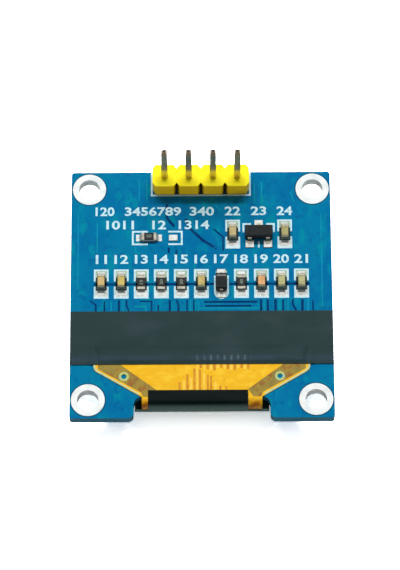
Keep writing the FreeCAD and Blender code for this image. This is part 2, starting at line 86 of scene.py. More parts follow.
# Material nodes

class Surface:
    """One procedural material: a principled shader and the nodes that feed it."""

    def __init__(self, name, colour, roughness, metallic=0.0, specular=0.5):
        self.material = bpy.data.materials.new(name)
        self.material.use_nodes = True
        self.nodes = self.material.node_tree.nodes
        self.links = self.material.node_tree.links
        self.shader = self.nodes["Principled BSDF"]
        self.put("Base Color", colour)
        self.put("Roughness", roughness)
        self.put("Metallic", metallic)
        self.put("Specular IOR Level", specular)
        self.colour = None
        self.bump = None
        place = self.nodes.new("ShaderNodeTexCoord")
        self.place = place.outputs["Object"]

    def put(self, socket, value):
        """Sets one of the shader's own sockets."""
        self.shader.inputs[socket].default_value = value

    def join(self, source, socket):
        """Links the output of one node to an input of another."""
        self.links.new(source, socket)

    def noise(self, size_mm, detail=3.0, stretch=(1, 1, 1)):
        """Noise from 0 to 1 whose blotches are about size_mm across."""
        place = self.place
        if stretch != (1, 1, 1):
            mapping = self.nodes.new("ShaderNodeMapping")
            mapping.inputs["Scale"].default_value = stretch
            self.join(place, mapping.inputs["Vector"])
            place = mapping.outputs["Vector"]
        node = self.nodes.new("ShaderNodeTexNoise")
        node.inputs["Scale"].default_value = 1 / (size_mm * MM)
        node.inputs["Detail"].default_value = detail
        node.inputs["Roughness"].default_value = 0.55
        self.join(place, node.inputs["Vector"])
        return node.outputs["Fac"]

    def span(self, value, low, high, to_low=0.0, to_high=1.0):
        """Value eased from low..high to to_low..to_high, and held past the ends."""
        node = self.nodes.new("ShaderNodeMapRange")
        node.interpolation_type = "SMOOTHSTEP"
        node.inputs["From Min"].default_value = low
        node.inputs["From Max"].default_value = high
        node.inputs["To Min"].default_value = to_low
        node.inputs["To Max"].default_value = to_high
        self.join(value, node.inputs["Value"])
        return node.outputs["Result"]

    def math(self, operation, first, second=0.0):
        """One operation on two values, each a number or the output of a node."""
        node = self.nodes.new("ShaderNodeMath")
        node.operation = operation
        for index, value in enumerate((first, second)):
            if isinstance(value, (int, float)):
                node.inputs[index].default_value = value
            else:
                self.join(value, node.inputs[index])
        return node.outputs["Value"]

    def along(self, axis):
        """Place along one axis of the object, in metres."""
        node = self.nodes.new("ShaderNodeSeparateXYZ")
        self.join(self.place, node.inputs["Vector"])
        return node.outputs[axis]

    def share_along(self, axis):
        """Place along one axis as a share of the object's box, from 0 to 1."""
        place = self.nodes.new("ShaderNodeTexCoord").outputs["Generated"]
        node = self.nodes.new("ShaderNodeSeparateXYZ")
        self.join(place, node.inputs["Vector"])
        return node.outputs[axis]

    def facing(self, axis):
        """Part of the surface normal along one axis, without its sign."""
        normal = self.nodes.new("ShaderNodeTexCoord").outputs["Normal"]
        node = self.nodes.new("ShaderNodeSeparateXYZ")
        self.join(normal, node.inputs["Vector"])
        return self.math("ABSOLUTE", node.outputs[axis])

    def tint(self, colour, share):
        """Mixes another colour in by a share, on top of what is there already."""
        node = self.nodes.new("ShaderNodeMix")
        node.data_type = "RGBA"
        before = self.shader.inputs["Base Color"]
        if self.colour is None:
            node.inputs["A"].default_value = before.default_value
        else:
            self.join(self.colour, node.inputs["A"])
        node.inputs["B"].default_value = colour
        self.join(share, node.inputs["Factor"])
        self.colour = node.outputs["Result"]
        self.join(self.colour, before)

    def uneven(self, value, low, high):
        """Roughness that changes with a value from 0 to 1."""
        self.join(self.span(value, 0.25, 0.75, low, high), self.shader.inputs["Roughness"])

    def relief(self, height, depth_mm, strength=1.0):
        """Bump of a given depth, on top of what is there already."""
        node = self.nodes.new("ShaderNodeBump")
        node.inputs["Strength"].default_value = strength
        node.inputs["Distance"].default_value = depth_mm * MM
        self.join(height, node.inputs["Height"])
        if self.bump is not None:
            self.join(self.bump, node.inputs["Normal"])
        self.bump = node.outputs["Normal"]
        self.join(self.bump, self.shader.inputs["Normal"])


def solder_mask():
    """Blue mask on both faces, and on the cut edges mask spilt over the bare laminate, darkened with
    painted shade.
    """
    look = Surface("solder_mask", rgb(0, 117, 159), 0.5, specular=0.1)
    look.tint(rgb(0, 107, 157), look.span(look.noise(4.0, 2.0), 0.42, 0.66))
    look.tint(rgb(0, 132, 158), look.span(look.noise(1.6, 3.0, stretch=(1.6, 0.7, 1)), 0.5, 0.7))
    look.tint(rgb(0, 98, 150), look.span(look.noise(0.7, 2.0), 0.52, 0.72, 0.0, 0.8))
    # Painted shade on the upright cut edges, over the colour of the mask spilt there.
    look.tint(rgb(42, 98, 118), look.span(look.facing("Z"), 0.6, 0.4))
    look.uneven(look.noise(2.0), 0.42, 0.58)
    look.relief(look.noise(0.35, 4.0), 0.006, 0.6)
    return look.material


def masked_copper(name, colour, second):
    """Mask over copper, or over the channel or gap beside it."""
    look = Surface(name, colour, 0.5, specular=0.1)
    look.tint(second, look.span(look.noise(1.2), 0.4, 0.65))
    look.relief(look.noise(0.3), 0.004, 0.6)
    return look.material


def white_print():
    """Slightly worn white ink."""
    look = Surface("white_print", rgb(202, 232, 240), 0.6, specular=0.2)
    look.tint(rgb(174, 214, 226), look.span(look.noise(0.35, 4.0), 0.46, 0.7))
    look.relief(look.noise(0.09, 3.0), 0.006, 0.7)
    return look.material


def ring_tin():
    """Pale tin of the mounting rings, a little uneven in sheen and colour."""
    look = Surface("tinned_copper", rgb(250, 254, 252), 0.44, metallic=0.45)
    patches = look.noise(0.96, 3.0)
    look.tint(rgb(240, 248, 247), look.span(patches, 0.42, 0.68))
    look.uneven(patches, 0.352, 0.55)
    look.relief(look.noise(0.4, 3.0), 0.003, 0.7)
    return look.material


def bright_solder():
    """Bright solder, with painted shade on its steep parts where it climbs a chip's end."""
    look = Surface("solder", rgb(240, 244, 240), 0.3, metallic=0.8)
    patches = look.noise(0.4, 3.0)
    look.tint(rgb(214, 218, 210), look.span(patches, 0.42, 0.68))
    # Painted shade on the steep parts of the solder.
    look.tint(rgb(72, 82, 76), look.span(look.facing("Z"), 0.62, 0.4))
    look.uneven(patches, 0.26, 0.36)
    look.relief(look.noise(0.16, 3.0), 0.008, 0.7)
    return look.material


def end_metal(name, painted_front_shade=False):
    """Dull tin with painted shade on its upright end faces, and more painted shade all over a chip's
    front end if wanted.
    """
    look = Surface(name, rgb(222, 218, 200), 0.45, metallic=0.8)
    patches = look.noise(0.3, 3.0)
    look.tint(rgb(198, 192, 170), look.span(patches, 0.42, 0.68))
    if painted_front_shade:
        # Painted shade on a chip's front end.
        look.tint(rgb(134, 136, 114), look.span(look.share_along("Y"), 0.3, 0.24))
    # Painted shade on the end faces that face along Y.
    look.tint(rgb(112, 122, 114), look.span(look.facing("Y"), 0.5, 0.85))
    look.uneven(patches, 0.38, 0.55)
    look.relief(look.noise(0.12, 3.0), 0.006, 0.7)
    return look.material


def pin_plating():
    """Smooth plating with lengthwise streaks, a painted yellow reflection of the housing on its foot,
    and dull cut ends.
    """
    look = Surface("pin_metal", rgb(196, 172, 136), 0.3, metallic=0.9)
    streaks = look.noise(0.16, 2.0, stretch=(1, 1, 0.05))
    look.tint(rgb(180, 154, 118), look.span(streaks, 0.4, 0.7))
    # Painted reflection of the yellow housing on the lower part of each pin.
    foot_z = housing_high.z + 1.5
    foot = look.span(look.along("Z"), (foot_z + 0.8) * MM, foot_z * MM)
    look.tint(rgb(255, 232, 120), foot)
    look.tint(rgb(74, 76, 74), look.span(look.facing("Z"), 0.7, 0.9))
    look.uneven(streaks, 0.26, 0.34)
    look.relief(streaks, 0.0006, 0.5)
    return look.material


def ceramic(name, colour, second):
    """Fine-grained fired body of a capacitor."""
    look = Surface(name, colour, 0.42, specular=0.4)
    look.tint(second, look.span(look.noise(0.4, 3.0), 0.4, 0.68))
    look.relief(look.noise(0.06, 3.0), 0.003, 0.7)
    return look.material


def resistor_coat():
    """Black glaze on top of a white ceramic plate."""
    look = Surface("resistor_coat", rgb(176, 176, 170), 0.5, specular=0.4)
    glaze_t = 0.1
    glaze_z = (box_mm("resistor_1_body")[1].z - glaze_t) * MM
    look.tint(rgb(30, 33, 35), look.span(look.along("Z"), glaze_z - 0.02 * MM, glaze_z))
    look.uneven(look.noise(0.3), 0.24, 0.4)
    look.relief(look.noise(0.2), 0.004, 0.6)
    return look.material


def moulding():
    """Matt black compound with a fine grain."""
    look = Surface("moulding", rgb(26, 29, 31), 0.55, specular=0.35)
    look.tint(rgb(40, 43, 43), look.span(look.noise(0.25, 4.0), 0.45, 0.75))
    look.uneven(look.noise(0.2), 0.48, 0.66)
    look.relief(look.noise(0.05, 3.0), 0.006, 0.8)
    return look.material


def header_plastic():
    """Yellow moulding with painted shade: deeper yellow on its sides and dark in the nicks between its
    units.
    """
    look = Surface("header_plastic", rgb(255, 242, 40), 0.42, specular=0.25)
    look.tint(rgb(252, 233, 26), look.span(look.noise(1.1, 3.0), 0.42, 0.7))
    # Painted shade on the upright sides.
    upright = look.span(look.facing("Z"), 0.6, 0.4)
    look.tint(rgb(255, 206, 4), upright)
    # Painted shade on the upright faces in the nicks between the units.
    pitch = PIN_PITCH * MM
    from_nick = look.math("PINGPONG", look.along("X"), pitch / 2)
    end_unit = (PIN_COUNT - 1) / 2 * pitch
    inner = look.math("LESS_THAN", look.math("ABSOLUTE", look.along("X")), end_unit)
    painted_nick_shade = look.math("MULTIPLY", look.span(from_nick, NICK_HALF_W * MM, 0.1 * MM), upright)
    look.tint(rgb(70, 48, 2), look.math("MULTIPLY", painted_nick_shade, inner))
    look.put("Subsurface Weight", 0.08)
    look.put("Subsurface Radius", (0.5 * MM, 0.4 * MM, 0.1 * MM))
    look.uneven(look.noise(0.8), 0.34, 0.52)
    look.relief(look.noise(0.12, 3.0), 0.004, 0.6)
    return look.material


def amber_film():
    """Clear amber film with a glossy face, and patches of painted shade where it folds."""
    look = Surface("amber_film", rgb(238, 182, 24), 0.3, specular=0.25)
    look.tint(rgb(244, 196, 44), look.span(look.noise(1.4, 2.0, stretch=(1, 2.2, 1)), 0.46, 0.68))
    look.tint(rgb(222, 156, 18), look.span(look.noise(0.5, 3.0), 0.56, 0.8))
    # Painted shade, in patches, on the film where it folds round.
    folded = look.span(look.along("Y"), (BEND_Y - 0.1) * MM, (BEND_Y - 0.7) * MM)
    painted_shade_patches = look.span(look.noise(0.7, 3.0), 0.3, 0.6, 0.35, 1.0)
    look.tint(rgb(150, 88, 16), look.math("MULTIPLY", folded, painted_shade_patches))
    look.put("Coat Weight", 0.1)
    look.put("Coat Roughness", 0.18)
    look.relief(look.noise(1.6, 2.0), 0.02, 0.4)
    return look.material


def film_copper(name, colour, second, spots=None):
    """Film over copper or over a gap in it, with or without spots of another colour."""
    look = Surface(name, colour, 0.34, specular=0.25)
    look.tint(second, look.span(look.noise(0.7, 4.0), 0.42, 0.7))
    if spots:
        look.tint(spots, look.span(look.noise(0.8, 3.0), 0.5, 0.62, 0.0, 0.6))
    look.put("Coat Weight", 0.1)
    look.put("Coat Roughness", 0.18)
    look.relief(look.noise(0.5, 3.0), 0.01, 0.5)
    return look.material


def press_front(look, colour):
    """Painted sheen on a strip along the cover tape's front, with painted highlights of short ridge
    lines over the tracks below.
    """
    # Painted sheen on the strip, in patches.
    along_y = look.along("Y")
    front = look.span(along_y, (COVER_FRONT_Y + 0.2) * MM, (COVER_FRONT_Y + 0.45) * MM)
    back = look.span(along_y, (COVER_FRONT_Y + 1.05) * MM, (COVER_FRONT_Y + 0.75) * MM)
    strip = look.math("MULTIPLY", front, back)
    patchy = look.span(look.noise(1.5, 2.0, stretch=(0.35, 1, 1)), 0.35, 0.6, 0.2, 0.9)
    look.tint(colour, look.math("MULTIPLY", strip, patchy))
    # Painted highlights of short ridge lines over the film's tracks.
    along_x = look.along("X")
    half = RIDGE_PITCH / 2
    beat = look.math("PINGPONG", look.math("ADD", along_x, (half - RIDGE_X) * MM), half * MM)
    painted_ridge_highlights = look.span(beat, 0.45 * half * MM, 0.9 * half * MM)
    first = look.span(along_x, (RIDGE_X - 0.4) * MM, (RIDGE_X - 0.2) * MM)
    last_x = RIDGE_X + RIDGE_PITCH * RIDGE_COUNT
    last = look.span(along_x, last_x * MM, (last_x - 0.2) * MM)
    partly = look.span(look.noise(1.1, 2.0), 0.35, 0.65, 0.15, 0.9)
    for share in (first, last, strip, partly):
        painted_ridge_highlights = look.math("MULTIPLY", painted_ridge_highlights, share)
    look.tint(rgb(78, 98, 106), painted_ridge_highlights)


def wear_fold(look, colour):
    """Painted reflection on the lower part of the tape over the fold, and a painted highlight along
    its back edge.
    """
    # Painted reflection on the lower part.
    look.tint(colour, look.span(look.along("Z"), TOP * MM, (TOP - 0.4) * MM))
    # Painted highlight along the back edge.
    edge_y = BEND_TAPE_BACK_Y - 0.1
    edge = look.span(look.along("Y"), (edge_y - 0.35) * MM, edge_y * MM)
    look.tint(colour, look.math("MULTIPLY", edge, 0.8))


def black_tape(name, colour, second, roughness, specular, paint_light, pale):
    """Satin tape with faint creases, and the painted light that the given step adds in a paler colour.
    """
    look = Surface(name, colour, roughness, specular=specular)
    look.tint(second, look.span(look.noise(3.2, 3.0, stretch=(0.7, 1.4, 1)), 0.42, 0.7))
    # The given step paints light on the tape.
    paint_light(look, pale)
    look.uneven(look.noise(2.4), roughness * 0.85, roughness * 1.15)
    look.relief(look.noise(2.6, 2.0, stretch=(1.0, 0.5, 1)), 0.05, 0.35)
    look.relief(look.noise(0.08, 2.0), 0.004, 0.6)
    return look.material


def display_glass():
    """Clear glass with a faint green cast."""
    look = Surface("display_glass", rgb(228, 236, 234), 0.04)
    look.put("Transmission Weight", 0.92)
    look.put("IOR", 1.5)
    look.tint(rgb(205, 222, 216), look.span(look.noise(6.0), 0.4, 0.7))
    look.relief(look.noise(5.0, 1.0), 0.002, 0.3)
    return look.material


def dark_gloss(name, colour, second, roughness):
    """Glossy dark sheet, such as a polariser."""
    look = Surface(name, colour, roughness)
    look.tint(second, look.span(look.noise(7.0, 2.0), 0.4, 0.7))
    look.put("Coat Weight", 0.6)
    look.put("Coat Roughness", 0.05)
    look.relief(look.noise(6.0, 2.0), 0.004, 0.3)
    return look.material


def plain_sheet(name, colour, second, roughness, grain_mm):
    """Matt surface with blotches and a fine grain."""
    look = Surface(name, colour, roughness)
    look.tint(second, look.span(look.noise(grain_mm * 2), 0.4, 0.7))
    look.relief(look.noise(grain_mm), 0.006, 0.6)
    return look.material


def clear_resin():
    """Half-clear protective resin."""
    look = Surface("clear_resin", rgb(190, 190, 178), 0.2)
    look.put("Transmission Weight", 0.6)
    look.put("IOR", 1.45)
    look.tint(rgb(160, 160, 148), look.span(look.noise(0.8), 0.4, 0.7))
    look.relief(look.noise(0.9, 2.0), 0.02, 0.4)
    return look.material


tin = ring_tin()
solder = bright_solder()
chip_tin = end_metal("chip_tin")
capacitor_tin = end_metal("capacitor_tin", painted_front_shade=True)
pin_metal = pin_plating()
white = white_print()
mask = solder_mask()
cover_look = black_tape(
    "cover_tape", rgb(34, 54, 55), rgb(42, 59, 62), 0.5, 0.25, press_front, rgb(44, 62, 74)
)
bend_look = black_tape(
    "bend_tape", rgb(6, 16, 16), rgb(10, 21, 20), 0.3, 0.1, wear_fold, rgb(72, 94, 90)
)

# Capacitors of the lower row from left to right, then the two beside the regulator
CAPACITOR_COLOURS = (
    (206, 178, 118),
    (204, 184, 104),
    (200, 180, 112),
    (226, 172, 118),
    (182, 180, 128),
    (186, 182, 136),
    (190, 174, 126),
    (168, 162, 108),
)


def dress_nodes():
    """Gives every CAD node its material."""
    looks = {
        "circuit_board": mask,
        "header_housing": header_plastic(),
        "header_solder": solder,
        "component_solder": solder,
        "flex_solder": solder,
        "diode_body": moulding(),
        "diode_leads": chip_tin,
        "regulator_leads": chip_tin,
        "flex_cable": amber_film(),
        "bend_tape": bend_look,
        "cover_tape": cover_look,
        "front_glass": display_glass(),
        "polariser": dark_gloss("polariser", rgb(9, 10, 12), rgb(14, 15, 18), 0.16),
        "pixel_layer": dark_gloss("pixel_layer", rgb(30, 32, 42), rgb(38, 40, 50), 0.25),
        "seal_bead": plain_sheet("edge_seal", rgb(66, 66, 60), rgb(48, 48, 44), 0.6, 0.2),
        "desiccant_sheet": plain_sheet("desiccant", rgb(228, 228, 222), rgb(212, 212, 204), 0.8, 0.1),
        "driver_chip": dark_gloss("silicon", rgb(74, 78, 88), rgb(62, 66, 76), 0.12),
        "chip_resin": clear_resin(),
        "adhesive_strips": plain_sheet("foam_strip", rgb(30, 31, 32), rgb(42, 43, 44), 0.85, 0.08),
    }
    looks["regulator_body"] = looks["diode_body"]
    looks["cap_glass"] = looks["front_glass"]
    coat = resistor_coat()
    for number, (red, green, blue) in enumerate(CAPACITOR_COLOURS, 1):
        second = rgb(red * 0.9, green * 0.9, blue * 0.86)
        looks[f"capacitor_{number}_body"] = ceramic(f"ceramic_{number}", rgb(red, green, blue), second)
        looks[f"capacitor_{number}_ends"] = capacitor_tin
    for number in range(1, RESISTOR_COUNT + 1):
        looks[f"resistor_{number}_body"] = coat
        looks[f"resistor_{number}_ends"] = chip_tin
    for number in range(1, RING_COUNT + 1):
        looks[f"mounting_ring_{number}"] = tin
    for number in range(1, PIN_COUNT + 1):
        looks[f"header_pin_{number}"] = pin_metal
    for name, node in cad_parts.items():
        node.data.materials.clear()
        node.data.materials.append(looks[name])


# Mesh helpers: they draw in millimetres

def new_piece(name, bm, material):
    """Makes a piece of the module from a drawn mesh."""
    bmesh.ops.scale(bm, vec=(MM, MM, MM), verts=bm.verts)
    bmesh.ops.recalc_face_normals(bm, faces=bm.faces)
    mesh = bpy.data.meshes.new(name)
    bm.to_mesh(mesh)
    bm.free()
    mesh.materials.append(material)
    piece = bpy.data.objects.new(name, mesh)
    bpy.context.scene.collection.objects.link(piece)
    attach(piece, "root")


def shell(bm, low, high, closed=True):
    """Walls between two loops of vertices, one above the other."""
    count = len(low)
    for here in range(count if closed else count - 1):
        after = (here + 1) % count
        bm.faces.new((low[here], low[after], high[after], high[here]))


def plate(bm, outline, z0, z1):
    """Flat plate with a plan outline of (x, y) points."""
    low = [bm.verts.new((x, y, z0)) for x, y in outline]
    high = [bm.verts.new((x, y, z1)) for x, y in outline]
    bm.faces.new(list(reversed(low)))
    bm.faces.new(high)
    shell(bm, low, high)


def band(bm, outer, inner, z0, z1):
    """Flat band between two loops with as many points each."""
    loops = [[bm.verts.new((x, y, z)) for x, y in loop] for loop in (outer, inner) for z in (z0, z1)]
    outer_low, outer_high, inner_low, inner_high = loops
    shell(bm, outer_low, outer_high)
    shell(bm, inner_high, inner_low)
    shell(bm, inner_low, outer_low)
    shell(bm, outer_high, inner_high)


def circle(x, y, radius, count=40):
    """Points of a circle in plan."""
    turns = [2 * math.pi * n / count for n in range(count)]
    return [(x + radius * math.cos(t), y + radius * math.sin(t)) for t in turns]


def plate_with_hole(bm, outline, centre, radius, z0, z1):
    """Flat plate with one round hole in it."""
    edges = []
    for loop in (outline, circle(*centre, radius, 28)):
        verts = [bm.verts.new((x, y, z0)) for x, y in loop]
        edges += [bm.edges.new(pair) for pair in zip(verts, verts[1:] + verts[:1])]
    filled = bmesh.ops.triangle_fill(bm, edges=edges, use_beauty=True, use_dissolve=False)
    faces = [item for item in filled["geom"] if isinstance(item, bmesh.types.BMFace)]
    raised = bmesh.ops.extrude_face_region(bm, geom=faces)
    moved = [item for item in raised["geom"] if isinstance(item, bmesh.types.BMVert)]
    bmesh.ops.translate(bm, vec=(0, 0, z1 - z0), verts=moved)


def sides_of(points, width, closed):
    """The two offset lines of a drawn line, mitred at its corners."""
    here = [Vector(point) for point in points]
    count = len(here)
    left, right = [], []
    for n in range(count):
        before = here[n - 1] if n or closed else None
        after = here[(n + 1) % count] if n < count - 1 or closed else None
        runs = []
        if before is not None:
            runs.append((here[n] - before).normalized())
        if after is not None:
            runs.append((after - here[n]).normalized())
        normals = [Vector((-run.y, run.x)) for run in runs]
        mitre = sum(normals, Vector((0, 0))).normalized()
        mitre *= width / 2 / max(0.3, mitre.dot(normals[0]))
        left.append(tuple(here[n] + mitre))
        right.append(tuple(here[n] - mitre))
    return left, right


def stroke(bm, points, width, z0, z1, closed=False):
    """Line of a given width along a path in plan."""
    left, right = sides_of(points, width, closed)
    if closed:
        band(bm, left, right, z0, z1)
        return
    low_left, high_left, low_right, high_right = [
        [bm.verts.new((x, y, z)) for x, y in line] for line in (left, right) for z in (z0, z1)
    ]
    shell(bm, low_left, high_left, closed=False)
    shell(bm, high_right, low_right, closed=False)
    shell(bm, low_right, low_left, closed=False)
    shell(bm, high_left, high_right, closed=False)
    for end in (0, -1):
        bm.faces.new((low_left[end], high_left[end], high_right[end], low_right[end]))


def rectangle(x0, x1, y0, y1):
    """Corners of an upright rectangle in plan."""
    return [(x0, y0), (x1, y0), (x1, y1), (x0, y1)]


def numeral(bm, text, x, y, width, height, z0, z1):
    """Plain number centred on (x, y), as high as asked and at most as wide."""
    curve = bpy.data.curves.new("numeral", "FONT")
    curve.body = text
    curve.extrude = 0.5
    curve.offset = 0.025    # makes the strokes a little bolder
    curve.resolution_u = 3
    holder = bpy.data.objects.new("numeral", curve)
    mesh = bpy.data.meshes.new_from_object(holder)
    low = Vector([min(v.co[axis] for v in mesh.vertices) for axis in range(3)])
    high = Vector([max(v.co[axis] for v in mesh.vertices) for axis in range(3)])
    sizes = high - low
    tall = height / sizes.y
    wide = min(width / sizes.x, WIDEST_NUMERAL * tall)
    scale = Matrix.Diagonal((wide, tall, (z1 - z0) / sizes.z, 1))
    to_place = Matrix.Translation((x, y, (z0 + z1) / 2))
    mesh.transform(to_place @ scale @ Matrix.Translation(-(low + high) / 2))
    fresh = bmesh.new()
    fresh.from_mesh(mesh)
    bmesh.ops.remove_doubles(fresh, verts=fresh.verts, dist=1e-5)
    fresh.to_mesh(mesh)
    fresh.free()
    bm.from_mesh(mesh)
    bpy.data.meshes.remove(mesh)
    bpy.data.objects.remove(holder)
    bpy.data.curves.remove(curve)


# Places of the print round the parts

def middle_of(node):
    """Middle of a CAD node in plan."""
    low, high = box_mm(node)
    return (low.x + high.x) / 2, (low.y + high.y) / 2


LOWER_ROW = (
    "capacitor_1", "capacitor_2", "resistor_1", "resistor_2", "resistor_3", "capacitor_3",
    "diode", "resistor_4", "capacitor_4", "capacitor_5", "capacitor_6",
)
UPPER_ROW = ("capacitor_7", "capacitor_8")
FRAME_W = 1.54
FRAME_L = 3.3
FRAME_GAP = 0.6             # break in the side lines of a frame
LABEL_H = 1.02
LABEL_W = 1.64
LABEL_STEP = 2.8            # from the middle of a part to its number
UPPER_LABEL_STEP = 2.67     # the same in the upper row
PIN_NUMBER_W = 0.6
PIN_NUMBER_H = 0.9
PRINT_Z = (TOP, TOP + PRINT_T)

# Lines of numbers in the far corner, as (Y, ((text, X, width), ...))
NUMBER_LINES = (
    (9.35, (("120", -10.1, 2.0), ("3456789", -5.05, 6.4), ("340", 0.1, 2.7))),
    (7.8, (("1011", -8.5, 3.3), ("12", -4.4, 1.5), ("1314", -0.75, 3.3))),
)

# Outer and inner end of the selector's two brackets, along X
SELECTOR_BRACKETS = ((-7.17, -5.6), (-2.03, -3.45))
SELECTOR_HALF_L = 0.72


def part_frame(bm, x, y):
    """Two facing brackets round a chip."""
    half_w = (FRAME_W - LINE_W) / 2
    half_l = (FRAME_L - LINE_W) / 2
    for way in (-1, 1):
        near = y + way * FRAME_GAP / 2
        far = y + way * half_l
        path = [(x - half_w, near), (x - half_w, far), (x + half_w, far), (x + half_w, near)]
        stroke(bm, path, LINE_W, *PRINT_Z)


def diode_outline(bm, x, y):
    """Round-ended line on three sides of the diode."""
    half_w = (FRAME_W - LINE_W) / 2
    low = y - FRAME_L / 2 + half_w
    turns = [math.pi + math.pi * n / 14 for n in range(15)]
    path = [(x + half_w * math.cos(t), low + half_w * math.sin(t)) for t in turns]
    stroke(bm, [(x - half_w, y + 0.9), *path, (x + half_w, y + 0.9)], LINE_W, *PRINT_Z)


def component_print():
    """Frames, brackets and outlines of the parts."""
    bm = bmesh.new()
    for part in LOWER_ROW + UPPER_ROW:
        x, y = middle_of(f"{part}_body")
        if part == "diode":
            diode_outline(bm, x, y)
        else:
            part_frame(bm, x, y)
    selector_print(bm)
    regulator_print(bm)
    header_print(bm)
    new_piece("component_print", bm, white)


def selector_print(bm):
    """Pair of brackets round the selector's lands."""
    y = middle_of("resistor_5_body")[1]
    front = y - SELECTOR_HALF_L
    back = y + SELECTOR_HALF_L
    for outer, inner in SELECTOR_BRACKETS:
        path = [(inner, back), (outer, back), (outer, front), (inner, front)]
        stroke(bm, path, LINE_W, *PRINT_Z)


def regulator_print(bm):
    """Corner marks and a short bar beside the regulator."""
    x, y = middle_of("regulator_body")
    side = 1.6
    inner = 0.8
    back = y + 1.15
    front = y + 0.2
    for way in (-1, 1):
        path = [(x + way * inner, back), (x + way * side, back), (x + way * side, front)]
        stroke(bm, path, LINE_W, *PRINT_Z)
    stroke(bm, [(x, y - 0.85), (x, y - 1.55)], LINE_W, *PRINT_Z)


def header_print(bm):
    """Line round the header's foot."""
    side = 0.1
    front_y = housing_low.y - 0.14
    back_y = board_high.y - 0.1
    path = rectangle(housing_low.x - side, housing_high.x + side, front_y, back_y)
    stroke(bm, path, LINE_W, *PRINT_Z, closed=True)


def number_print():
    """Plain numbers beside the parts, where such boards are printed."""
    bm = bmesh.new()
    for number, part in enumerate(LOWER_ROW, 11):
        x, y = middle_of(f"{part}_body")
        numeral(bm, str(number), x, y + LABEL_STEP, LABEL_W, LABEL_H, *PRINT_Z)
    for number, part in enumerate(("capacitor_7", "regulator", "capacitor_8"), 22):
        x, y = middle_of(f"{part}_body")
        numeral(bm, str(number), x, y + UPPER_LABEL_STEP, LABEL_W, LABEL_H, *PRINT_Z)
    for y, line in NUMBER_LINES:
        for text, x, width in line:
            numeral(bm, text, x, y, width, LABEL_H, *PRINT_Z)
    new_piece("number_print", bm, white)


def pin_numbers():
    """Plain numbers by the pins on the display side."""
    bm = bmesh.new()
    z = board_low.z
    middle_y = (GLASS_BACK_Y + housing_low.y) / 2
    for number in range(1, PIN_COUNT + 1):
        x = middle_of(f"header_pin_{number}")[0]
        numeral(bm, str(number), x, middle_y, PIN_NUMBER_W, PIN_NUMBER_H, z - PRINT_T, z)
    bmesh.ops.scale(bm, vec=(-1, 1, 1), verts=bm.verts)
    new_piece("pin_numbers", bm, white)


def mask_windows():
    """Dark plates under and beside the chips, painted shade at the foot of the header's nicks, and the
    chips' lands.
    """
    dark = bmesh.new()
    bright = bmesh.new()
    dull = bmesh.new()
    half_w = FRAME_W / 2 - LINE_W
    half_l = FRAME_L / 2 - LINE_W
    land_near = 0.75
    for part in LOWER_ROW + UPPER_ROW:
        x, y = middle_of(f"{part}_body")
        window = rectangle(x - half_w, x + half_w, y - land_near, y + land_near)
        plate(dark, window, TOP, TOP + TRACK_T)
        front = rectangle(x - half_w, x + half_w, y - half_l, y - land_near)
        plate(bright, front, TOP, TOP + TRACK_T)
        back = rectangle(x - half_w, x + half_w, y + land_near, y + half_l)
        plate(dull, back, TOP, TOP + TRACK_T)
    # Dark plates as painted shade at the foot of the header's nicks.
    front_y = housing_low.y
    for x in (-PIN_PITCH, 0, PIN_PITCH):
        foot = rectangle(x - NICK_HALF_W, x + NICK_HALF_W, front_y, front_y + NICK_HALF_W)
        plate(dark, foot, TOP, TOP + TRACK_T)
    # One dark look for the plates under the chips and the painted shade in the nicks.
    look = plain_sheet("dark_plates_and_painted_shade", rgb(44, 54, 54), rgb(26, 44, 52), 0.6, 0.1)
    new_piece("mask_windows", dark, look)
    new_piece("front_lands", bright, solder)
    look = plain_sheet("dull_solder", rgb(150, 174, 154), rgb(186, 202, 172), 0.5, 0.15)
    new_piece("back_lands", dull, look)


# Tracks and channels under the mask, as (width, points), and small covered holes
VIA_R = 0.28
VIA_HOLE_R = 0.12
DARK_LINES = (
    (0.24, ((-11.2, 1.03), (11.3, 1.03))),
    (0.22, ((-8.6, -0.75), (-8.6, -2.1))),
    (0.16, ((-7.8, -0.75), (-7.8, -1.4), (-7.5, -2.1))),
    (0.22, ((-3.3, -0.75), (-3.3, -2.1))),
    (0.22, ((-2.6, -0.75), (-2.4, -1.3), (-2.4, -2.1))),
    (0.16, ((-1.5, -0.75), (-1.5, -2.1))),
    (0.16, ((-0.8, -0.75), (-0.8, -2.1))),
    (0.22, ((0.3, -1.0), (5.8, -1.0))),
    (0.2, ((6.2, -0.75), (6.2, -2.1))),
    (0.2, ((6.9, -0.75), (6.9, -2.1))),
    (0.26, ((7.7, -0.75), (7.7, -2.1))),
    (0.2, ((8.5, -0.75), (8.5, -2.1))),
    (0.2, ((9.5, -0.75), (9.5, -1.3), (9.9, -2.1))),
    (0.26, ((10.5, -0.75), (10.5, -2.1))),
    (0.3, ((-3.6, 10.2), (-3.6, 8.6), (-2.8, 7.6))),
    (0.3, ((-1.6, 8.5), (-1.2, 7.4), (0.2, 6.0), (1.7, 5.0))),
    (0.22, ((-2.6, 5.2), (-2.6, 3.4))),
    (0.22, ((-3.4, 5.2), (-3.4, 4.6))),
    (0.18, ((1.2, 7.4), (2.3, 6.4), (2.3, 4.8))),
    (0.16, ((-11.6, -0.8), (-11.0, -1.3), (-11.0, -2.05))),
    (0.18, ((-10.1, -0.9), (-10.1, -2.05))),
    (0.18, ((-6.4, -0.9), (-5.2, -0.9), (-5.2, -2.05))),
    (0.16, ((-4.5, -1.3), (-4.5, -2.05))),
    (0.18, ((0.4, -1.45), (5.2, -1.45))),
    (0.16, ((11.6, -0.9), (11.6, -2.05))),
)
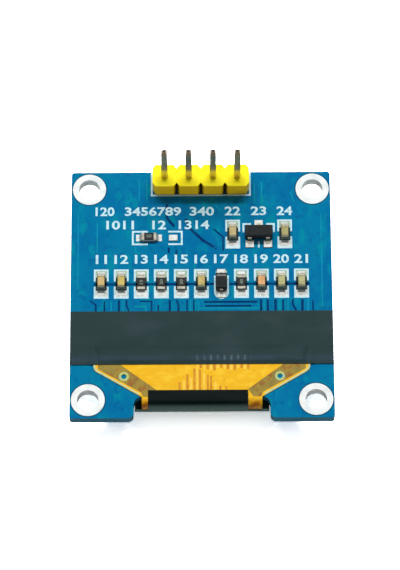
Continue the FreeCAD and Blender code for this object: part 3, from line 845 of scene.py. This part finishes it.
TEAL_LINES = (
    (0.2, ((-0.2, -1.75), (6.3, -1.75))),
    (0.14, ((-8.15, -0.75), (-8.15, -2.1))),
    (0.12, ((-6.5, 13.1), (-6.5, 10.6))),
    (0.12, ((-5.7, 13.1), (-5.7, 10.6))),
    (0.14, ((-10.9, 8.0), (-10.9, 4.6))),
    (0.14, ((5.65, 12.6), (5.65, 10.3))),
    (0.18, ((6.4, 12.8), (6.4, 10.2))),
    (0.12, ((9.4, 11.6), (9.8, 10.4))),
    (0.12, ((-12.9, 9.0), (-12.9, 0.5))),
    (0.12, ((12.6, 9.0), (12.6, -1.6))),
    (0.14, ((-6.9, 5.3), (-6.9, 4.7), (-6.2, 4.5))),
    (0.14, ((1.6, 10.6), (1.6, 9.9), (2.2, 9.4))),
    (0.16, ((-9.4, -0.9), (-9.4, -2.05))),
    (0.2, ((-7.0, -1.5), (-5.8, -1.5), (-5.8, -2.05))),
    (0.16, ((-1.15, -0.75), (-1.15, -2.05))),
    (0.16, ((-0.3, -0.9), (-0.3, -2.05))),
    (0.16, ((6.55, -0.75), (6.55, -2.05))),
    (0.2, ((8.1, -0.75), (8.1, -2.05))),
    (0.16, ((9.0, -0.75), (9.0, -2.05))),
    (0.2, ((11.1, -0.75), (11.1, -2.05))),
)
VIAS = (
    (-12.2, 6.6), (-12.1, 3.0), (-9.2, 6.1), (-7.9, 5.0), (-2.7, 5.2), (1.5, 5.0), (1.3, 7.6),
    (11.2, 7.4), (12.0, 4.6), (10.9, 9.2), (-12.2, -1.3), (12.2, -1.1), (3.4, 4.7), (-5.0, 4.9),
    (-8.6, -8.7), (-9.3, -9.4), (-7.5, -12.6), (9.9, -8.9), (-10.9, 12.9), (7.2, 12.4),
)


def board_tracks():
    """Copper that stands up a little under the mask, and the dark channels beside it."""
    for name, lines, look in (
        ("dark_tracks", DARK_LINES, masked_copper("mask_channels", rgb(0, 44, 96), rgb(2, 64, 108))),
        ("teal_tracks", TEAL_LINES, masked_copper("mask_tracks", rgb(8, 136, 158), rgb(14, 138, 180))),
    ):
        bm = bmesh.new()
        for width, points in lines:
            stroke(bm, points, width, TOP, TOP + TRACK_T)
        new_piece(name, bm, look)
    bm = bmesh.new()
    for x, y in VIAS:
        outer, inner = circle(x, y, VIA_R, 20), circle(x, y, VIA_HOLE_R, 20)
        band(bm, outer, inner, TOP, TOP + TRACK_T * 1.5)
    new_piece("tented_holes", bm, mask)


def ring_openings():
    """Dark gap between a mounting ring and the mask round it."""
    bm = bmesh.new()
    gap = 0.12
    for number in range(1, RING_COUNT + 1):
        low, high = box_mm(f"mounting_ring_{number}")
        x, y = middle_of(f"mounting_ring_{number}")
        radius = (high.x - low.x) / 2
        band(bm, circle(x, y, radius + gap, 64), circle(x, y, radius, 64), TOP, TOP + TRACK_T / 2)
    look = masked_copper("ring_openings", rgb(6, 72, 104), rgb(20, 90, 116))
    new_piece("ring_openings", bm, look)


# Flex cable: copper inside the film, its rim, and its two locating holes

FLEX_Z = (TOP + FILM_T, TOP + FILM_T + COPPER_T)
HOLE_X = 8.05
HOLE_Y = -9.35
HOLE_R = 0.27
HOLE_RING_R = 0.52
NECK_X = 6.2                # half of the film's width where it folds
SHOULDER = (11.15, -8.62)   # corner where the film's slanted side ends
FILM_TRACK_W = 0.22
SHORT_TRACK_W = 0.24


def mirrored(points):
    """The same path on the other side of the middle, in reverse."""
    return [(-x, y) for x, y in reversed(points)]


def side_copper():
    """Wide copper bands along the film's slanted sides."""
    bm = bmesh.new()
    inset = 0.42
    left = [
        (-SHOULDER[0] + inset, COVER_FRONT_Y),
        (-SHOULDER[0] + inset, SHOULDER[1] + 0.1),
        (-NECK_X - 0.1, BEND_Y + 0.5),
        (-NECK_X + 0.12, BEND_Y),
        (-5.3, BEND_Y),
        (-4.75, -10.8),
        (-8.45, COVER_FRONT_Y),
    ]
    right = mirrored(left)
    for sign, outline in ((-1, left), (1, right)):
        plate_with_hole(bm, outline, (sign * HOLE_X, HOLE_Y), HOLE_RING_R, *FLEX_Z)
    look = film_copper(
        "film_copper", rgb(156, 132, 54), rgb(134, 120, 58), spots=rgb(148, 78, 30)
    )
    new_piece("side_copper", bm, look)


# Tracks that run up the middle of the film, as (x, upper end)
DARK_TRACKS = (
    (-2.3, -10.0), (-1.5, -9.1), (-0.77, -8.5), (-0.2, -8.6), (0.6, -9.2), (0.95, -9.3),
    (1.9, -10.4), (2.5, -10.5),
)
PALE_TRACKS = ((-1.85, -9.8), (-1.14, -9.5), (-0.48, -8.5), (0.22, -9.0), (1.4, -9.9))


def film_tracks():
    """Tracks up the middle of the film, and short ones by the cover tape's edge."""
    dark = bmesh.new()
    pale = bmesh.new()
    low_y = BEND_Y + 0.75
    for bm, tracks in ((dark, DARK_TRACKS), (pale, PALE_TRACKS)):
        for x, high_y in tracks:
            stroke(bm, [(x, low_y), (x, high_y)], FILM_TRACK_W, *FLEX_Z)
    for n in range(RIDGE_COUNT):
        ridge_x = RIDGE_X + RIDGE_PITCH * n
        front_y = COVER_FRONT_Y - 0.45 - 0.12 * (n % 3)
        for bm, x in ((pale, ridge_x), (dark, ridge_x + RIDGE_PITCH / 2)):
            stroke(bm, [(x, front_y), (x, COVER_FRONT_Y)], SHORT_TRACK_W, *FLEX_Z)
    look = film_copper("film_tracks", rgb(200, 132, 36), rgb(218, 152, 46))
    new_piece("film_tracks", dark, look)
    look = film_copper("film_gaps", rgb(250, 206, 84), rgb(244, 196, 64))
    new_piece("film_gaps", pale, look)


def film_rim():
    """Clear margin of the film along its slanted sides."""
    bm = bmesh.new()
    half = 0.08
    left = [
        (-SHOULDER[0] + half, COVER_FRONT_Y),
        (-SHOULDER[0] + half, SHOULDER[1] + 0.25),
        (-SHOULDER[0] + 0.45, SHOULDER[1] - 0.2),
        (-NECK_X - 0.25, BEND_Y + 0.28),
    ]
    stroke(bm, left, 2 * half, *FLEX_Z)
    stroke(bm, mirrored(left), 2 * half, *FLEX_Z)
    look = film_copper("film_rim", rgb(196, 210, 160), rgb(150, 196, 176))
    new_piece("film_rim", bm, look)


def locating_rings():
    """Tarnished copper rings round the film's two locating holes."""
    bm = bmesh.new()
    for x in (-HOLE_X, HOLE_X):
        band(bm, circle(x, HOLE_Y, HOLE_RING_R), circle(x, HOLE_Y, HOLE_R), *FLEX_Z)
    look = film_copper("ring_copper", rgb(184, 196, 116), rgb(158, 186, 172))
    new_piece("locating_rings", bm, look)


# Small marks on the parts

MARK_W = 0.56
MARK_H = 0.34


def resistor_marks():
    """Plain numbers on the resistors' glaze."""
    bm = bmesh.new()
    for number in range(1, RESISTOR_COUNT + 1):
        low, high = box_mm(f"resistor_{number}_body")
        x, y = middle_of(f"resistor_{number}_body")
        mark = bmesh.new()
        numeral(mark, str(number * 10), 0, 0, MARK_W, MARK_H, high.z, high.z + MARK_T)
        across = high.x - low.x > high.y - low.y
        turn = Matrix.Rotation(0 if across else math.pi / 2, 4, "Z")
        bmesh.ops.transform(mark, matrix=Matrix.Translation((x, y, 0)) @ turn, verts=mark.verts)
        mesh = bpy.data.meshes.new("mark")
        mark.to_mesh(mesh)
        mark.free()
        bm.from_mesh(mesh)
        bpy.data.meshes.remove(mesh)
    look = plain_sheet("mark_print", rgb(128, 142, 126), rgb(104, 118, 106), 0.6, 0.1)
    new_piece("resistor_marks", bm, look)


def diode_band():
    """Grey band at one end of the diode."""
    low, high = box_mm("diode_body")
    bm = bmesh.new()
    side_gap = 0.1
    end_gap = 0.22
    width = 0.2
    back_y = high.y - end_gap
    outline = rectangle(low.x + side_gap, high.x - side_gap, back_y - width, back_y)
    plate(bm, outline, high.z, high.z + MARK_T)
    look = plain_sheet("band_print", rgb(120, 124, 122), rgb(96, 100, 98), 0.6, 0.1)
    new_piece("diode_band", bm, look)


# Stage, light and camera

# Angles in degrees, distance and target in metres, lens in millimetres
SHOT_ELEVATION = 66.886
SHOT_AZIMUTH = -0.13
SHOT_ROLL = -0.18
SHOT_DISTANCE = 0.35
SHOT_TARGET = Vector((-0.1446, 0.9156, 2.95)) * MM
SHOT_LENS = 211.9


def make_camera():
    """Camera that stands as the photo's did, in front and high above."""
    azimuth = math.radians(SHOT_AZIMUTH)
    elevation = math.radians(SHOT_ELEVATION)
    back = Vector((
        math.sin(azimuth) * math.cos(elevation),
        -math.cos(azimuth) * math.cos(elevation),
        math.sin(elevation),
    ))
    data = bpy.data.cameras.new("camera")
    data.lens = SHOT_LENS
    data.sensor_width = 36
    data.clip_start = 0.01
    data.clip_end = 10
    camera = bpy.data.objects.new("camera", data)
    camera.rotation_mode = "QUATERNION"
    camera.location = SHOT_TARGET + back * SHOT_DISTANCE
    roll = Matrix.Rotation(math.radians(SHOT_ROLL), 3, "Z").to_quaternion()
    camera.rotation_quaternion = (-back).to_track_quat("-Z", "Y") @ roll
    bpy.context.scene.collection.objects.link(camera)
    bpy.context.scene.camera = camera


def ray_share(tree, kinds):
    """1 for a ray of one of these kinds, and otherwise 0."""
    path = tree.nodes.new("ShaderNodeLightPath")
    total = path.outputs[kinds[0]]
    for name in kinds[1:]:
        node = tree.nodes.new("ShaderNodeMath")
        node.operation = "MAXIMUM"
        tree.links.new(total, node.inputs[0])
        tree.links.new(path.outputs[name], node.inputs[1])
        total = node.outputs["Value"]
    return total


FLOOR_ALBEDO = 0.8          # share of the light that the floor throws back
FLOOR_SEEN = 3.8            # the same for the camera, so that the floor comes out white
FLOOR_GLOW = 0.22           # least brightness of the floor for the camera


def make_floor():
    """Plain white table that keeps the module's soft shadow."""
    reach = 2.0
    mesh = bpy.data.meshes.new("floor")
    corners = [(-reach, -reach, 0), (reach, -reach, 0), (reach, reach, 0), (-reach, reach, 0)]
    mesh.from_pydata(corners, [], [(0, 1, 2, 3)])
    material = bpy.data.materials.new("floor")
    material.use_nodes = True
    tree = material.node_tree
    tree.nodes.clear()
    seen = ray_share(tree, ("Is Camera Ray", "Is Transmission Ray"))
    levels = []
    for low, high in ((FLOOR_ALBEDO, FLOOR_SEEN), (0.0, FLOOR_GLOW)):
        level = tree.nodes.new("ShaderNodeMapRange")
        level.inputs["To Min"].default_value = low
        level.inputs["To Max"].default_value = high
        tree.links.new(seen, level.inputs["Value"])
        levels.append(level.outputs["Result"])
    diffuse = tree.nodes.new("ShaderNodeBsdfDiffuse")
    glow = tree.nodes.new("ShaderNodeEmission")
    both = tree.nodes.new("ShaderNodeAddShader")
    out = tree.nodes.new("ShaderNodeOutputMaterial")
    tree.links.new(levels[0], diffuse.inputs["Color"])
    tree.links.new(levels[1], glow.inputs["Strength"])
    tree.links.new(diffuse.outputs["BSDF"], both.inputs[0])
    tree.links.new(glow.outputs["Emission"], both.inputs[1])
    tree.links.new(both.outputs["Shader"], out.inputs["Surface"])
    mesh.materials.append(material)
    floor = bpy.data.objects.new("floor", mesh)
    bpy.context.scene.collection.objects.link(floor)


# The main light stands behind the header and high up. Each sky is given by the
# elevation of its bright middle, the cosines where it fades in and is full, and its
# strengths outside and inside that patch.
LIGHT_ELEVATION = 59
FILL_ELEVATION = 9          # a weak lamp in front stands for the bright table there
LIGHTING_SKY = (70, 0.45, 0.86, 0.1, 0.36)
MIRRORED_SKY = (75, 0.66, 0.84, 0.06, 1.0)


def toward(elevation_deg):
    """Direction to the back and up."""
    elevation = math.radians(elevation_deg)
    return Vector((0, math.cos(elevation), math.sin(elevation)))


def sky_strength(tree, elevation_deg, fade, full, dim, bright):
    """Brightness of a soft round patch of sky in a dimmer room."""
    place = tree.nodes.new("ShaderNodeTexCoord")
    nearness = tree.nodes.new("ShaderNodeVectorMath")
    nearness.operation = "DOT_PRODUCT"
    nearness.inputs[1].default_value = toward(elevation_deg)
    tree.links.new(place.outputs["Generated"], nearness.inputs[0])
    sky = tree.nodes.new("ShaderNodeMapRange")
    sky.interpolation_type = "SMOOTHSTEP"
    sky.inputs["From Min"].default_value = fade
    sky.inputs["From Max"].default_value = full
    sky.inputs["To Min"].default_value = dim
    sky.inputs["To Max"].default_value = bright
    tree.links.new(nearness.outputs["Value"], sky.inputs["Value"])
    return sky.outputs["Result"]


def make_room():
    """Dim room with a soft pale patch of sky, and a white backdrop for the camera."""
    world = bpy.data.worlds.new("room")
    bpy.context.scene.world = world
    world.use_nodes = True
    tree = world.node_tree
    room = tree.nodes["Background"]
    room.inputs["Color"].default_value = (1, 1, 1, 1)
    both = tree.nodes.new("ShaderNodeMix")
    tree.links.new(ray_share(tree, ("Is Glossy Ray",)), both.inputs["Factor"])
    tree.links.new(sky_strength(tree, *LIGHTING_SKY), both.inputs["A"])
    tree.links.new(sky_strength(tree, *MIRRORED_SKY), both.inputs["B"])
    seen = tree.nodes.new("ShaderNodeMix")
    tree.links.new(ray_share(tree, ("Is Camera Ray", "Is Transmission Ray")), seen.inputs["Factor"])
    tree.links.new(both.outputs["Result"], seen.inputs["A"])
    seen.inputs["B"].default_value = 1.0
    tree.links.new(seen.outputs["Result"], room.inputs["Strength"])


def make_lamp(name, direction, distance, width, depth, energy):
    """Soft box that faces the module and isn't mirrored by glossy faces."""
    data = bpy.data.lights.new(name, "AREA")
    data.shape = "RECTANGLE"
    data.size = width
    data.size_y = depth
    data.energy = energy
    lamp = bpy.data.objects.new(name, data)
    lamp.location = direction * distance
    lamp.rotation_mode = "QUATERNION"
    lamp.rotation_quaternion = (-lamp.location).to_track_quat("-Z", "Y")
    lamp.visible_glossy = False
    bpy.context.scene.collection.objects.link(lamp)


dress_nodes()
component_print()
number_print()
pin_numbers()
mask_windows()
board_tracks()
side_copper()
film_tracks()
film_rim()
locating_rings()
ring_openings()
resistor_marks()
diode_band()
make_floor()
make_room()
make_lamp(
    "key_light", toward(LIGHT_ELEVATION), distance=0.54, width=0.6, depth=0.07, energy=3.28
)
make_lamp(
    "front_fill", toward(180 - FILL_ELEVATION), distance=0.5, width=0.3, depth=0.1, energy=0.58
)
make_camera()
bpy.context.scene.view_settings.view_transform = "Standard"
